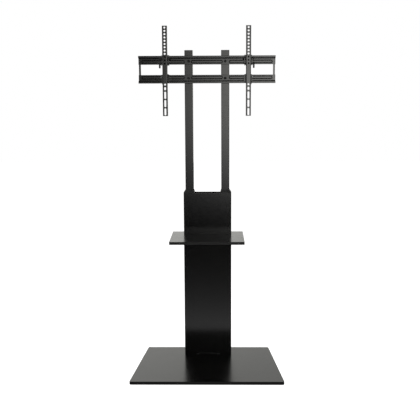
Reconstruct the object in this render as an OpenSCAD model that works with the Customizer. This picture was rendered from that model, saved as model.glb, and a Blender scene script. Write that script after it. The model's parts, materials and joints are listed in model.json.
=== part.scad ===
// Free-standing screen stand: a heavy board base, a folded steel column with
// two telescoping uprights, a media shelf and a hook-on tilting screen mount.
// Millimetres. X is to the right, Y to the back, Z up; the floor is Z = 0 and
// the origin is the middle of the base.

/* [Base] */
// Width of the base along its front edge
base_front_w = 717; // [560:1:900]
// Width of the base along its back edge
base_back_w = 631; // [460:1:800]
// Depth of the base
base_depth = 470; // [380:5:600]
// Thickness of the base board
base_t = 15; // [12:1:24]
// Plan radius of the two front corners
base_front_r = 9; // [4:1:40]
// Plan radius of the two back corners
base_back_r = 8; // [3:1:40]
// Radius of the pads under the base
pad_r = 12; // [8:1:18]
// Thickness of the pads
pad_t = 1.5; // [1.5:0.5:5]
// Distance of the pads from the edges of the base
pad_margin = 42; // [28:1:70]

/* [Column] */
// Width of the column
column_w = 238; // [200:2:300]
// Depth of the folded column cover
column_depth = 77; // [72:1:110]
// Height of the column above the base
column_h = 828.5; // [600:0.5:1000]
// Distance from the face of the column to the back edge of the base
column_setback = 90; // [85:1:140]
// Thickness of the folded sheet
sheet_t = 1.2; // [0.8:0.1:2]
// Outside radius of the folds of the cover
fold_r = 5; // [3:0.5:8]
// Width of the inward returns along the back of the cover
return_w = 14; // [12:1:18]
// Width of the cable notch in the foot of the cover, and of the rear window
notch_w = 123; // [60:1:130]
// Height of the cable notch in the foot of the cover
notch_h = 7; // [5:0.5:20]
// Height of the cable window in the rear panel
outlet_h = 32; // [20:1:60]
// Width of the sleeves that the uprights slide in
sleeve_w = 50; // [48:0.5:56]
// Depth of the sleeves
sleeve_depth = 63; // [60:0.5:68]
// Wall of the sleeves
sleeve_t = 2; // [1.5:0.25:3]
// Height of the cross straps that join the sleeves
strap_h = 40; // [25:1:80]
// Thickness of the cross straps and the shelf brackets
strap_t = 3; // [2:0.5:5]
// Thickness of the steel foot plate
foot_t = 5; // [4:0.5:10]

/* [Shelf] */
// Width of the shelf
shelf_w = 357; // [320:1:420]
// How far the shelf stands out in front of the column
shelf_reach = 215; // [160:1:300]
// Thickness of the shelf
shelf_t = 14; // [12:1:25]
// Height of the top of the shelf above the floor
shelf_z = 639; // [450:1:760]
// Plan radius of the corners of the shelf
shelf_r = 3; // [1:0.5:20]

/* [Uprights] */
// Distance between the middles of the uprights
upright_spacing = 178.5; // [170:0.5:182]
// Width of the uprights
upright_w = 40; // [36:0.5:41]
// Depth of the uprights
upright_depth = 50; // [46:0.5:52]
// Wall of the uprights
upright_t = 2; // [1.5:0.25:3]
// Plan radius of the edges of the tubes
tube_r = 3; // [2.5:0.5:4]
// Length of the uprights
upright_len = 1046; // [950:1:1200]
// Height of the top of the upright tubes above the floor
upright_top = 1541; // [1480:1:1640]
// Height of the tapered collars above the column
collar_h = 16; // [8:1:30]

/* [Rails] */
// Length of the mounting rails
rail_len = 665; // [640:5:760]
// Height of each rail
rail_h = 41; // [38:0.5:50]
// Clear height between the two rails
rail_gap = 49.5; // [40:0.5:90]
// Drop from the top of the uprights to the top rail
rail_drop = 26; // [20:1:60]
// Depth of the rails, from the uprights to the front of the lip
rail_depth = 15; // [13:0.5:20]
// Height of the hooking lip
lip_h = 10; // [8:0.5:12]
// Thickness of the rail sheet
rail_t = 2; // [1.5:0.25:2.5]
// Height of the pressed swages at the web
swage_h = 14.4; // [12:0.2:16]
// Depth of the pressed swages
swage_depth = 4; // [3:0.25:5]

/* [Arms] */
// Distance between the two arms
arm_spacing = 400; // [360:5:440]
// Length of the arms
arm_len = 425; // [400:1:520]
// Width of the arms
arm_w = 24.4; // [21:0.2:26]
// Depth of the arm's flanges
arm_depth = 11; // [9:0.5:13]
// Thickness of the arm and hanger sheet
arm_t = 2; // [1.5:0.25:2.5]
// Height of the arms above the top rail
arm_rise = 136.5; // [120:0.5:180]
// Distance between the round fixing holes
hole_pitch = 15.25; // [14:0.25:16]
// Number of round fixing holes
hole_count = 12; // [6:1:12]
// Radius of the fixing holes, and half the width of the slots
hole_r = 4.5; // [3:0.1:5]
// Length of the long fixing slots
slot_len = 34; // [20:1:36]
// Distance between the long fixing slots
slot_pitch = 39.5; // [36:0.5:44]
// Forward tilt that the clamp slots allow, in degrees
tilt_range = 10; // [4:1:10]

/* [Hidden] */

// Facets of round work, and steps of a rounded outline's corner
$fn = 48;
corner_steps = 6;
// Overrun of every cut, and the clearances of the fits
cut = 1;
seat_gap = 0.3;
slide_gap = 0.4;
running_gap = 0.06;
bolt_gap = 0.25;
// Softened arris of the two boards
arris = 1;

// Colours
lacquer = [0.07, 0.07, 0.07];
powder = [0.09, 0.09, 0.09];
plastic = [0.05, 0.05, 0.05];
zinc = [0.75, 0.75, 0.72];
blackened = [0.12, 0.12, 0.12];

// Heights above the floor
base_top = pad_t + base_t;
foot_top = base_top + foot_t;
column_top = base_top + column_h;
upright_bottom = upright_top - upright_len;
rail_top = upright_top - rail_drop;
rail_mid_z = rail_top - rail_h - rail_gap / 2;
rail_foot = rail_mid_z - rail_gap / 2 - rail_h;
arm_top = rail_top + arm_rise;

// Places from front to back
face_y = base_depth / 2 - column_setback;
cover_back_y = face_y + column_depth;
sleeve_front_y = face_y + sheet_t + seat_gap;
sleeve_mid_y = sleeve_front_y + sleeve_depth / 2;
sleeve_back_y = sleeve_front_y + sleeve_depth;
upright_front_y = sleeve_mid_y - upright_depth / 2;
upright_back_y = sleeve_mid_y + upright_depth / 2;
upright_x = upright_spacing / 2;
web_front_y = upright_front_y - rail_t;
lip_front_y = upright_front_y - rail_depth;
lip_back_y = lip_front_y + rail_t;

// Screws and nuts: shank, head and nut sizes of the two thread sizes used
m8_r = 4;
m8_head_r = 6.5;
m8_head_t = 5;
m8_nut_r = 7.5;
m8_nut_t = 6.5;
m5_r = 2.5;
m5_head_r = 4.6;
m5_head_t = 2.8;
m8_socket_r = 3.2;
m8_socket_depth = 2.6;
m5_socket_r = 1.9;
m5_socket_depth = 1.6;
washer_r = 8;
washer_t = 1.6;

// The hanger: the plate that hooks over the rails and carries the arm
hanger_w = 38;
hanger_t = 2.5;
waist_w = 17;
pivot_reach = 21;
pivot_drop = 15;
clamp_drop = 23;
ear_nose = 10;
hanger_back_y = lip_front_y - slide_gap;
hanger_front_y = hanger_back_y - hanger_t;
pivot_y = hanger_front_y - pivot_reach;
pivot_z = rail_top - pivot_drop;
clamp_z = pivot_z - clamp_drop;
arm_front_y = pivot_y - pivot_reach;
arm_back_y = arm_front_y + arm_depth;
ear_outer = hanger_w / 2;
ear_inner = ear_outer - hanger_t;
arm_x = arm_spacing / 2;

// The latch under the lower rail
latch_t = 2.2;
latch_r = 6.5;
latch_drop = 26.5;
latch_reach = 7;
latch_toe_t = 5;
latch_z = rail_foot + latch_drop;
latch_y = hanger_front_y - latch_reach;
latch_x = ear_inner - seat_gap - latch_t;

// Heights of the three cross straps, as shares of the column
strap_z_shares = [0.22, 0.58, 0.84];

// Moves child 1 to the right-hand side and mirrors it to the left
module on_side(side) {
    mirror([side < 0 ? 1 : 0, 0, 0]) children();
}

// Both sides at once
module both_sides() {
    for (side = [-1, 1]) on_side(side) children();
}

// Extrudes a profile drawn as (Y, Z) along X, from x0 to x1
module along_x(x0, x1) {
    translate([x0, 0, 0])
        rotate([90, 0, 90])
            linear_extrude(x1 - x0) children();
}

// Extrudes a profile drawn as (X, Z) along Y, from y0 to y1
module along_y(y0, y1) {
    translate([0, y1, 0])
        rotate([90, 0, 0])
            linear_extrude(y1 - y0) children();
}

// A round bar or hole along X from x0 to x1 at (y, z)
module bar_x(x0, x1, y, z, r, fn = $fn) {
    translate([x0, y, z])
        rotate([0, 90, 0])
            cylinder(h = x1 - x0, r = r, $fn = fn);
}

// A round bar or hole along Y from y0 to y1 at (x, z)
module bar_y(y0, y1, x, z, r, fn = $fn) {
    translate([x, y1, z])
        rotate([90, 0, 0])
            cylinder(h = y1 - y0, r = r, $fn = fn);
}

// A round-ended slot through Y, upright, from z0 to z1
module slot_y(y0, y1, x, z0, z1, r) {
    bar_y(y0, y1, x, z0 + r, r);
    bar_y(y0, y1, x, z1 - r, r);
    translate([x - r, y0, z0 + r])
        cube([2 * r, y1 - y0, z1 - z0 - 2 * r]);
}

// Unit vector from a to b
function unit(a, b) = (b - a) / norm(b - a);
// Cross product of two plane vectors
function turn(u, v) = u[0] * v[1] - u[1] * v[0];

// Points of a corner p, between a and b, rounded with radius r
function corner(a, p, b, r, steps) =
    let (u = unit(p, a), v = unit(p, b))
    let (half = acos(max(-1, min(1, u * v))) / 2)
    let (c = p + unit([0, 0], u + v) * r / sin(half))
    let (s = p + u * r / tan(half) - c, e = p + v * r / tan(half) - c)
    let (sweep = acos(max(-1, min(1, s * e / (r * r)))) * sign(turn(s, e)))
    [for (i = [0 : steps])
        let (t = sweep * i / steps)
        c + [s[0] * cos(t) - s[1] * sin(t), s[0] * sin(t) + s[1] * cos(t)]];

// A closed outline with each corner rounded by its own radius, 0 for sharp
function rounded(pts, radii, steps = corner_steps) =
    let (n = len(pts))
    [for (i = [0 : n - 1])
        let (r = radii[i])
        each r > 0
            ? corner(pts[(i + n - 1) % n], pts[i], pts[(i + 1) % n], r, steps)
            : [pts[i]]];

// A closed counter-clockwise outline moved inwards by d
function inset(pts, d) =
    let (n = len(pts))
    [for (i = [0 : n - 1])
        let (u = unit(pts[(i + n - 1) % n], pts[i]))
        let (v = unit(pts[i], pts[(i + 1) % n]))
        let (nu = [-u[1], u[0]], nv = [-v[1], v[0]])
        pts[i] + (nu + nv) * d / (1 + nu * nv)];

// A centred rectangle w by d
function rectangle(w, d) =
    [[-w / 2, -d / 2], [w / 2, -d / 2], [w / 2, d / 2], [-w / 2, d / 2]];

// A filled rectangle with round corners
module round_rect(w, d, r) {
    polygon(rounded(rectangle(w, d), [r, r, r, r]));
}

// A rectangular tube's section
module tube_section(w, d, t, r) {
    difference() {
        round_rect(w, d, r);
        round_rect(w - 2 * t, d - 2 * t, max(r - t, t / 4));
    }
}

// A board with its top and bottom arrises softened: rings of the outline,
// drawn in by the arris at the two faces, skinned into one closed body
module eased_board(pts, radii, z0, t, ease) {
    inner_radii = [for (r = radii) max(r - ease, ease / 4)];
    ring_in = rounded(inset(pts, ease), inner_radii);
    ring_out = rounded(pts, radii);
    n = len(ring_out);
    levels = [z0, z0 + ease, z0 + t - ease, z0 + t];
    verts = [for (k = [0 : 3])
        each [for (p = (k == 0 || k == 3) ? ring_in : ring_out) [p[0], p[1], levels[k]]]];
    sides = [for (k = [0 : 2], i = [0 : n - 1])
        [k * n + i, (k + 1) * n + i, (k + 1) * n + (i + 1) % n, k * n + (i + 1) % n]];
    bottom = [for (i = [0 : n - 1]) i];
    top = [for (i = [n - 1 : -1 : 0]) 3 * n + i];
    polyhedron(points = verts, faces = concat([bottom, top], sides), convexity = 4);
}

// A hexagon nut along Y, from y0 back to y0 + t, with its hole
module nut_y(y0, x, z, r, t, bore) {
    difference() {
        bar_y(y0, y0 + t, x, z, r, 6);
        bar_y(y0 - cut, y0 + t + cut, x, z, bore);
    }
}

// A hexagon nut along X, from x0 to x0 + t, with its hole
module nut_x(x0, y, z, r, t, bore) {
    difference() {
        bar_x(x0, x0 + t, y, z, r, 6);
        bar_x(x0 - cut, x0 + t + cut, y, z, bore);
    }
}

// Base

base_corners = [
    [-base_front_w / 2, -base_depth / 2], [base_front_w / 2, -base_depth / 2],
    [base_back_w / 2, base_depth / 2], [-base_back_w / 2, base_depth / 2]
];
base_radii = [base_front_r, base_front_r, base_back_r, base_back_r];

// The foot plate stands inside the cover, on the four bolts of the base
foot_gap = 3;
foot_w = column_w - 2 * (sheet_t + foot_gap);
foot_depth = column_depth - 2 * (sheet_t + foot_gap);
foot_mid_y = face_y + column_depth / 2;
foot_bridge = 14;
bolt_inset_x = 9;
bolt_front_share = 0.74;
counterbore_r = 9;
counterbore_depth = 6;

// Places of the four base bolts: on the foot plate, inboard of the sleeves
bolt_x = upright_x - sleeve_w / 2 - bolt_inset_x;
bolt_y_front = sleeve_mid_y - sleeve_depth * (bolt_front_share - 0.5);
bolt_y_back = sleeve_mid_y + sleeve_depth * (bolt_front_share - 0.5);
foot_tab_x = bolt_x - bolt_inset_x;

module at_base_bolts() {
    for (side = [-1, 1], y = [bolt_y_front, bolt_y_back])
        translate([side * bolt_x, y, 0]) children();
}

module base_plate() {
    color(lacquer)
    difference() {
        eased_board(base_corners, base_radii, pad_t, base_t, arris);
        at_base_bolts() {
            translate([0, 0, pad_t - cut])
                cylinder(h = base_t + 2 * cut, r = m8_r + bolt_gap);
            translate([0, 0, pad_t - cut])
                cylinder(h = counterbore_depth + cut, r = counterbore_r);
        }
    }
}

module foot_pads() {
    front_x = base_front_w / 2 - pad_margin;
    back_x = base_back_w / 2 - pad_margin;
    front_y = pad_margin - base_depth / 2;
    color(plastic)
    for (p = [[-front_x, front_y], [0, front_y], [front_x, front_y],
              [-back_x, -front_y], [0, -front_y], [back_x, -front_y]])
        translate([p[0], p[1], 0]) cylinder(h = pad_t, r = pad_r);
}

module foot_plate() {
    color(blackened)
    translate([0, 0, base_top])
        linear_extrude(foot_t)
            difference() {
                translate([0, foot_mid_y]) round_rect(foot_w, foot_depth, foot_gap);
                translate([-foot_tab_x, face_y])
                    square([2 * foot_tab_x, column_depth - foot_gap - sheet_t - foot_bridge]);
                for (side = [-1, 1], y = [bolt_y_front, bolt_y_back])
                    translate([side * bolt_x, y]) circle(r = m8_r + bolt_gap);
            }
}

module base_bolts() {
    head_z = pad_t + counterbore_depth;
    color(zinc)
    at_base_bolts()
        difference() {
            union() {
                translate([0, 0, head_z - m8_head_t])
                    cylinder(h = m8_head_t, r = m8_head_r);
                translate([0, 0, head_z])
                    cylinder(h = foot_top + m8_nut_t + arris - head_z, r = m8_r);
            }
            translate([0, 0, head_z - m8_head_t - cut])
                cylinder(h = m8_socket_depth + cut, r = m8_socket_r, $fn = 6);
        }
}

module base_nuts() {
    color(zinc)
    at_base_bolts()
        translate([0, 0, foot_top])
            difference() {
                cylinder(h = m8_nut_t, r = m8_nut_r, $fn = 6);
                translate([0, 0, -cut])
                    cylinder(h = m8_nut_t + 2 * cut, r = m8_r + running_gap);
            }
}

// Column

// The clamp knobs stand just under the collars, behind the sleeves
knob_drop = 62;
knob_z = column_top - knob_drop;
bracket_leg_h = 36;
bracket_w = 34;
bracket_screw_z = shelf_z - shelf_t - strap_t - bracket_leg_h / 2;

module sleeve() {
    color(blackened)
    difference() {
        translate([upright_x, sleeve_mid_y, foot_top])
            linear_extrude(column_top - foot_top)
                tube_section(sleeve_w, sleeve_depth, sleeve_t, tube_r);
        bar_y(sleeve_mid_y, sleeve_back_y + cut, upright_x, knob_z, m8_r + bolt_gap);
        bar_y(sleeve_front_y - cut, sleeve_mid_y, upright_x, bracket_screw_z, m5_r + bolt_gap);
    }
}

module cross_straps() {
    color(blackened)
    for (share = strap_z_shares)
        translate([-upright_x - sleeve_w / 3, sleeve_back_y, base_top + column_h * share - strap_h / 2])
            cube([2 * upright_x + 2 * sleeve_w / 3, strap_t, strap_h]);
}

screw_xs = column_w / 2 - return_w / 2;
screw_z_shares = [0.04, 0.5, 0.96];

module column_cover() {
    outer_y = column_depth;
    color(powder)
    difference() {
        translate([0, face_y, base_top])
            linear_extrude(column_h)
                difference() {
                    polygon(rounded(
                        [[-column_w / 2, 0], [column_w / 2, 0],
                         [column_w / 2, outer_y], [-column_w / 2, outer_y]],
                        [fold_r, fold_r, fold_r / 2, fold_r / 2]));
                    polygon(rounded(
                        [[-column_w / 2 + sheet_t, sheet_t], [column_w / 2 - sheet_t, sheet_t],
                         [column_w / 2 - sheet_t, outer_y - sheet_t],
                         [-column_w / 2 + sheet_t, outer_y - sheet_t]],
                        [fold_r - sheet_t, fold_r - sheet_t, fold_r / 4, fold_r / 4]));
                    translate([return_w - column_w / 2, outer_y - 2 * sheet_t])
                        square([column_w - 2 * return_w, 3 * sheet_t]);
                }
        translate([-notch_w / 2, face_y - cut, base_top - cut])
            cube([notch_w, fold_r + cut, notch_h + cut]);
        for (side = [-1, 1]) {
            bar_y(face_y - cut, face_y + fold_r, side * upright_x, bracket_screw_z, m5_r + bolt_gap);
            for (share = screw_z_shares)
                bar_y(cover_back_y - fold_r, cover_back_y + cut,
                      side * screw_xs, base_top + column_h * share, m5_r + bolt_gap);
        }
    }
}

panel_gap = 2;
knob_hole_r = 9;
window_sill = 45;

module rear_panel() {
    color(powder)
    difference() {
        translate([0, cover_back_y, base_top + column_h / 2])
            along_y(0, sheet_t)
                round_rect(column_w - 2 * panel_gap, column_h - panel_gap, fold_r);
        translate([0, cover_back_y, base_top + window_sill + outlet_h / 2])
            along_y(-cut, sheet_t + cut) round_rect(notch_w, outlet_h, fold_r);
        for (side = [-1, 1]) {
            bar_y(cover_back_y - cut, cover_back_y + sheet_t + cut, side * upright_x, knob_z, knob_hole_r);
            for (share = screw_z_shares)
                bar_y(cover_back_y - cut, cover_back_y + sheet_t + cut,
                      side * screw_xs, base_top + column_h * share, m5_r + bolt_gap);
        }
    }
}

module panel_screws() {
    panel_y = cover_back_y + sheet_t;
    color(zinc)
    for (side = [-1, 1], share = screw_z_shares) {
        z = base_top + column_h * share;
        difference() {
            bar_y(panel_y, panel_y + m5_head_t, side * screw_xs, z, m5_head_r);
            bar_y(panel_y + m5_head_t - m5_socket_depth, panel_y + m5_head_t + cut,
                  side * screw_xs, z, m5_socket_r, 6);
        }
        bar_y(cover_back_y - fold_r, panel_y, side * screw_xs, z, m5_r);
    }
}

// Collars: a flared plastic bush that closes the sleeve and guides the upright
brim_t = 3;
lip_wall = 0.8;
skirt_len = 42;
brim_back = 2.5;

module collar() {
    brim_x0 = upright_x - sleeve_w / 2;
    brim_x1 = column_w / 2;
    brim_y1 = sleeve_back_y + brim_back;
    bore_w = upright_w + 2 * slide_gap;
    bore_d = upright_depth + 2 * slide_gap;
    skirt_w = sleeve_w - 2 * (sleeve_t + seat_gap);
    skirt_d = sleeve_depth - 2 * (sleeve_t + seat_gap);
    color(plastic)
    difference() {
        union() {
            hull() {
                translate([(brim_x0 + brim_x1) / 2, (face_y + brim_y1) / 2, column_top])
                    linear_extrude(brim_t)
                        polygon(rounded(rectangle(brim_x1 - brim_x0, brim_y1 - face_y),
                                        [tube_r, fold_r, tube_r, tube_r]));
                translate([upright_x, sleeve_mid_y, column_top])
                    linear_extrude(collar_h)
                        round_rect(bore_w + 2 * lip_wall, bore_d + 2 * lip_wall, tube_r);
            }
            translate([upright_x, sleeve_mid_y, column_top - skirt_len])
                linear_extrude(skirt_len)
                    round_rect(skirt_w, skirt_d, sleeve_t);
        }
        translate([upright_x, sleeve_mid_y, column_top - skirt_len - cut])
            linear_extrude(skirt_len + collar_h + 2 * cut)
                round_rect(bore_w, bore_d, tube_r + slide_gap);
    }
}

// Clamp knobs of the height setting: a domed grip with scalloped lobes
knob_r = 18;
knob_t = 8.5;
knob_crown = 1.5;
knob_edge_r = 3;
lobe_r = 6;
lobe_count = 6;
knob_seat_y = cover_back_y + sheet_t + slide_gap;

module lock_nuts() {
    color(zinc)
    for (side = [-1, 1])
        nut_y(sleeve_back_y, side * upright_x, knob_z, m8_nut_r, m8_nut_t, m8_r + running_gap);
}

module lock_knob() {
    head_y = knob_seat_y;
    difference() {
        union() {
            color(plastic)
                translate([upright_x, head_y, knob_z])
                    rotate([-90, 0, 0])
                        rotate_extrude()
                            polygon(rounded([[0, 0], [knob_r, 0], [knob_r, knob_t], [0, knob_t + knob_crown]],
                                            [0, 0, knob_edge_r, 0]));
            color(zinc) bar_y(upright_back_y + seat_gap, head_y + cut, upright_x, knob_z, m8_r);
        }
        for (i = [0 : lobe_count - 1]) {
            a = 360 * i / lobe_count;
            bar_y(head_y - cut, head_y + knob_t + 2 * cut,
                  upright_x + (knob_r + lobe_r / 2) * cos(a),
                  knob_z + (knob_r + lobe_r / 2) * sin(a), lobe_r);
        }
    }
}

// Shelf

shelf_back_y = cover_back_y - seat_gap;
shelf_front_y = face_y - shelf_reach;
notch_half = column_w / 2 + seat_gap;

module shelf() {
    mid_y = (shelf_front_y + shelf_back_y) / 2;
    corners = [for (p = rectangle(shelf_w, shelf_back_y - shelf_front_y)) p + [0, mid_y]];
    inner_r = fold_r - seat_gap;
    notch = [
        [-notch_half, face_y - seat_gap], [notch_half, face_y - seat_gap],
        [notch_half, shelf_back_y + cut], [-notch_half, shelf_back_y + cut]
    ];
    color(lacquer)
    difference() {
        eased_board(corners, [shelf_r, shelf_r, shelf_r, shelf_r], shelf_z - shelf_t, shelf_t, arris);
        translate([0, 0, shelf_z - shelf_t - cut])
            linear_extrude(shelf_t + 2 * cut)
                polygon(rounded(notch, [inner_r, inner_r, 0, 0]));
        for (side = [-1, 1], y = bracket_hole_ys)
            translate([side * upright_x, y, shelf_z - shelf_t - cut])
                cylinder(h = shelf_t - skin_t + cut, r = m5_r + running_gap);
    }
}

// Shelf brackets: an angle with a folded gusset, screwed to the sleeve
bracket_reach = 120;
bracket_end_r = 8;
skin_t = 4;
bracket_hole_shares = [0.35, 0.85];
bracket_hole_ys = [for (share = bracket_hole_shares) face_y - bracket_reach * share];

module shelf_bracket() {
    top_z = shelf_z - shelf_t;
    foot_z = top_z - bracket_leg_h - strap_t;
    tip_y = face_y - bracket_reach;
    gusset_x = upright_x + bracket_w / 2 - strap_t;
    color(powder)
    difference() {
        union() {
            translate([upright_x, (face_y + tip_y) / 2, top_z - strap_t])
                linear_extrude(strap_t)
                    polygon(rounded(rectangle(bracket_w, bracket_reach),
                                    [bracket_end_r, strap_t / 2, strap_t / 4, strap_t / 4]));
            translate([upright_x - bracket_w / 2, face_y - strap_t, foot_z])
                cube([bracket_w, strap_t, top_z - foot_z]);
            along_x(gusset_x, gusset_x + strap_t)
                polygon([[face_y, foot_z], [face_y, top_z],
                         [tip_y + bracket_end_r, top_z], [tip_y + bracket_end_r, top_z - 2 * strap_t]]);
        }
        bar_y(face_y - 2 * strap_t, face_y + cut, upright_x, bracket_screw_z, m5_r + bolt_gap);
        for (y = bracket_hole_ys)
            translate([upright_x, y, top_z - strap_t - cut])
                cylinder(h = strap_t + 2 * cut, r = m5_r + bolt_gap);
    }
}

module shelf_wood_screws() {
    plate_z = shelf_z - shelf_t - strap_t;
    color(zinc)
    for (side = [-1, 1], y = bracket_hole_ys)
        translate([side * upright_x, y, 0]) {
            difference() {
                translate([0, 0, plate_z - m5_head_t]) cylinder(h = m5_head_t, r = m5_head_r);
                translate([0, 0, plate_z - m5_head_t - cut])
                    cylinder(h = m5_socket_depth + cut, r = m5_socket_r, $fn = 6);
            }
            translate([0, 0, plate_z]) cylinder(h = strap_t + shelf_t - skin_t - arris, r = m5_r);
        }
}

module shelf_bracket_screws() {
    head_y = face_y - strap_t;
    color(blackened)
    for (side = [-1, 1]) {
        difference() {
            bar_y(head_y - m5_head_t, head_y, side * upright_x, bracket_screw_z, m5_head_r);
            bar_y(head_y - m5_head_t - cut, head_y - m5_head_t + m5_socket_depth,
                  side * upright_x, bracket_screw_z, m5_socket_r, 6);
        }
        bar_y(head_y, sleeve_front_y + sleeve_t + arris, side * upright_x, bracket_screw_z, m5_r);
    }
}

// Uprights and rails

bolt_line = 25;
upper_bolt_z = rail_top - bolt_line;
lower_bolt_z = rail_foot + bolt_line;
cap_t = 2;
cap_plug = 14;

module upright() {
    color(powder)
    difference() {
        translate([upright_x, sleeve_mid_y, upright_bottom])
            linear_extrude(upright_len)
                tube_section(upright_w, upright_depth, upright_t, tube_r);
        for (z = [upper_bolt_z, lower_bolt_z])
            bar_y(upright_front_y - cut, upright_back_y + cut, upright_x, z, m8_r + bolt_gap);
    }
}

module upright_caps() {
    plug_w = upright_w - 2 * (upright_t + seat_gap);
    plug_d = upright_depth - 2 * (upright_t + seat_gap);
    color(plastic)
    both_sides()
        translate([upright_x, sleeve_mid_y, upright_top]) {
            linear_extrude(cap_t) round_rect(upright_w, upright_depth, tube_r);
            translate([0, 0, -cap_plug])
                linear_extrude(cap_plug)
                    tube_section(plug_w, plug_d, upright_t, upright_t);
        }
}

// Section of the upper rail as (Y, Z): a web on the uprights, a shelf forward
// and a lip that stands up, all one folded sheet
bend_r = 1.5;
rail_section = [
    [upright_front_y, rail_top - rail_h], [upright_front_y, rail_top - lip_h],
    [lip_back_y, rail_top - lip_h], [lip_back_y, rail_top],
    [lip_front_y, rail_top], [lip_front_y, rail_top - lip_h - rail_t],
    [web_front_y, rail_top - lip_h - rail_t], [web_front_y, rail_top - rail_h]
];
rail_radii = [0, bend_r + rail_t, bend_r, 0, 0, bend_r + rail_t, bend_r, 0];

// The three swages stand forward of the web, so that its back lies flat on the
// uprights. Their ends keep these distances from the bolts and the rail's ends
swage_near = 12.7;
swage_far = 19;
swage_line = 28;
swage_in = upright_x - swage_near;
swage_out = upright_x + swage_far;
swage_end = rail_len / 2 - rail_depth;
swage_spans = [[-swage_end, -swage_out], [-swage_in, swage_in], [swage_out, swage_end]];

// How far the flanks draw in over the depth, and the wall they keep
swage_draw = 2.6;
swage_taper = swage_draw / swage_depth;
swage_wall = rail_t * norm([swage_depth, swage_draw]) / swage_depth;

// A round-ended bar with sloping flanks from y0 to y1, thinner all round by wall
module swage_bar(span, y0, y1, wall) {
    x0 = span[0] + swage_h / 2;
    x1 = span[1] - swage_h / 2;
    z = rail_top - swage_line;
    r0 = swage_h / 2 - wall + swage_taper * (y0 - web_front_y);
    r1 = swage_h / 2 - wall + swage_taper * (y1 - web_front_y);
    for (x = [x0, x1])
        translate([x, y0, z]) rotate([-90, 0, 0]) cylinder(h = y1 - y0, r1 = r0, r2 = r1);
    along_x(x0, x1)
        polygon([[y0, z - r0], [y1, z - r1], [y1, z + r1], [y0, z + r0]]);
}

module rail_body() {
    crest_y = web_front_y - swage_depth;
    difference() {
        union() {
            along_x(-rail_len / 2, rail_len / 2)
                polygon(rounded(rail_section, rail_radii));
            for (span = swage_spans) swage_bar(span, crest_y, web_front_y + arris, 0);
        }
        for (span = swage_spans)
            swage_bar(span, crest_y + rail_t, upright_front_y + cut, swage_wall);
        for (side = [-1, 1])
            bar_y(web_front_y - cut, upright_front_y + cut, side * upright_x, upper_bolt_z,
                  m8_r + bolt_gap);
    }
}

module upper_rail() {
    color(powder) rail_body();
}

module lower_rail() {
    color(powder)
    translate([0, 0, 2 * rail_mid_z]) mirror([0, 0, 1]) rail_body();
}

// End straps tie the two rails together at their ends
strap_w = 9;
strap_lap = 26;
strap_inset = 2.5;
strap_lug = 6;

module end_strap() {
    x1 = rail_len / 2 - strap_inset;
    half = rail_gap / 2 + strap_lap;
    color(powder)
    translate([0, 0, rail_mid_z]) {
        translate([x1 - strap_w, web_front_y - rail_t, -half])
            cube([strap_w, rail_t, 2 * half]);
        translate([x1 - rail_t, web_front_y - strap_lug, -half])
            cube([rail_t, strap_lug - rail_t / 2, 2 * half]);
    }
}

module at_rail_bolts() {
    for (side = [-1, 1], z = [upper_bolt_z, lower_bolt_z])
        translate([side * upright_x, 0, z]) children();
}

module rail_bolts() {
    nut_y0 = upright_back_y + washer_t;
    color(blackened)
    at_rail_bolts()
        difference() {
            union() {
                bar_y(web_front_y - m8_head_t, web_front_y, 0, 0, m8_head_r);
                bar_y(web_front_y, nut_y0 + m8_nut_t + arris, 0, 0, m8_r);
            }
            bar_y(web_front_y - m8_head_t - cut, web_front_y - m8_head_t + m8_socket_depth, 0, 0,
                  m8_socket_r, 6);
        }
}

module rail_washers() {
    color(zinc)
    at_rail_bolts()
        difference() {
            bar_y(upright_back_y, upright_back_y + washer_t, 0, 0, washer_r);
            bar_y(upright_back_y - cut, upright_back_y + washer_t + cut, 0, 0, m8_r + bolt_gap);
        }
}

module rail_nuts() {
    color(zinc)
    at_rail_bolts()
        nut_y(upright_back_y + washer_t, 0, 0, m8_nut_r, m8_nut_t, m8_r + running_gap);
}

// Hanger

hook_top = rail_top + slide_gap;
hook_leg_y = lip_back_y + slide_gap;
hook_drop = 8;
head_taper = 10;
lower_head_h = 40;
upper_head_foot = rail_top - rail_h;
lower_head_top = rail_foot + rail_h;
lower_head_foot = rail_foot + slide_gap;
lower_ear_reach = 15;

// Section of the hanger as (Y, Z): a flat back plate with a hook folded over
hanger_section = [
    [hanger_front_y, lower_head_foot], [hanger_back_y, lower_head_foot],
    [hanger_back_y, hook_top], [hook_leg_y, hook_top],
    [hook_leg_y, hook_top - hook_drop], [hook_leg_y + hanger_t, hook_top - hook_drop],
    [hook_leg_y + hanger_t, hook_top + hanger_t], [hanger_front_y, hook_top + hanger_t]
];
hanger_radii = [0, 0, 0, 0, bend_r / 2, bend_r / 2, hanger_t, hanger_t];

// Front outline of the back plate as (X, Z): wide heads at the rails, tapering
// to a narrow waist that hides behind the arm
hanger_outline = [
    [-ear_outer, lower_head_foot], [ear_outer, lower_head_foot],
    [ear_outer, lower_head_top], [waist_w / 2, lower_head_top + head_taper / 2],
    [waist_w / 2, upper_head_foot - head_taper], [ear_outer, upper_head_foot],
    [ear_outer, hook_top + hanger_t], [-ear_outer, hook_top + hanger_t],
    [-ear_outer, upper_head_foot], [-waist_w / 2, upper_head_foot - head_taper],
    [-waist_w / 2, lower_head_top + head_taper / 2], [-ear_outer, lower_head_top]
];

// Upper ears as (Y, Z): they carry the pivot bolt and the clamp bolt
upper_ear = [
    [hanger_back_y, clamp_z - ear_nose], [hanger_back_y, pivot_z + ear_nose],
    [pivot_y - ear_nose, pivot_z + ear_nose], [pivot_y - ear_nose, clamp_z - ear_nose]
];
lower_ear = [
    [hanger_back_y, rail_foot + 2 * arris], [hanger_back_y, lower_head_top],
    [hanger_front_y - lower_ear_reach, lower_head_top],
    [hanger_front_y - lower_ear_reach, rail_foot + 2 * arris]
];
ear_corner = 5;

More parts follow.
